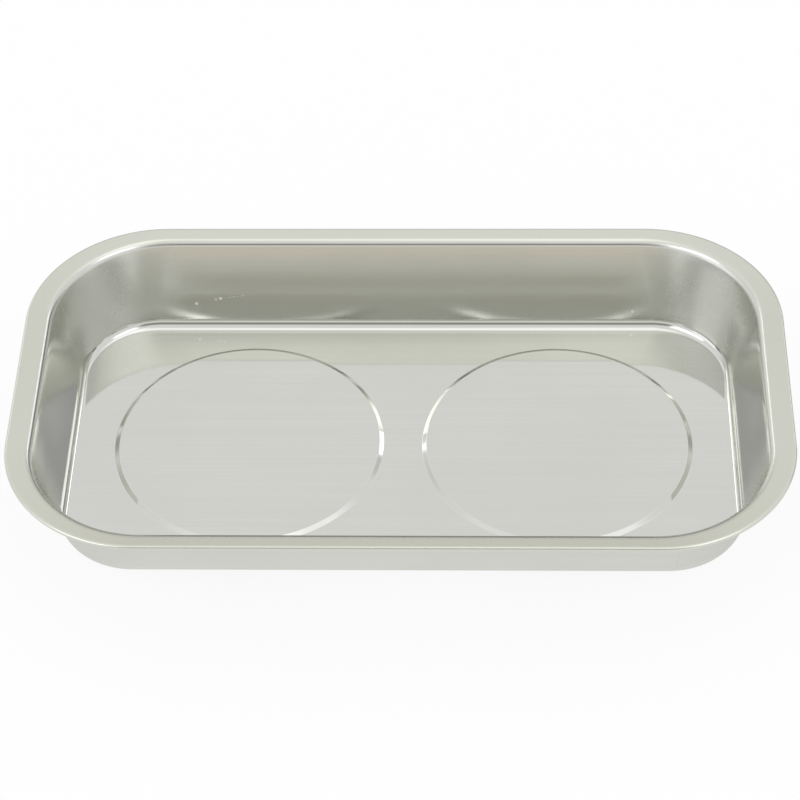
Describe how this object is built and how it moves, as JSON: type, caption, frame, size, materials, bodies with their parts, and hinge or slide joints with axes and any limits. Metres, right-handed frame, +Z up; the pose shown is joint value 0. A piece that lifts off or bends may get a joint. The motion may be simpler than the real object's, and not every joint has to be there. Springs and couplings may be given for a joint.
{
  "type": "magnetic parts tray",
  "caption": "Rectangular pressed stainless dish with round corners, a narrow turned-down rim and raised floor discs over rubber-booted ring magnets, for holding loose screws and small parts.",
  "frame": {"origin": "middle of the tray in plan, on the plane that the two rubber boots stand on", "axes": "+X along the tray's length, +Y across its width to the far side of the picture, +Z up"},
  "size_m": [0.24, 0.139, 0.0407],
  "materials": {
    "stainless_sheet": "gloss",
    "black_rubber": "matte",
    "ferrite": "matte",
    "zinc_plated_steel": "satin",
    "black_spring_steel": "satin",
    "copper_flashed_steel": "satin"
  },
  "bodies": {
    "root": {"tray_pan": "stainless_sheet", "left_weld_stud": "copper_flashed_steel", "left_ring_magnet": "ferrite", "left_pole_cup": "zinc_plated_steel", "left_rubber_boot": "black_rubber", "left_flat_washer": "zinc_plated_steel", "left_spring_washer": "black_spring_steel", "left_hex_nut": "zinc_plated_steel", "right_weld_stud": "copper_flashed_steel", "right_ring_magnet": "ferrite", "right_pole_cup": "zinc_plated_steel", "right_rubber_boot": "black_rubber", "right_flat_washer": "zinc_plated_steel", "right_spring_washer": "black_spring_steel", "right_hex_nut": "zinc_plated_steel"}
  },
  "joints": []
}
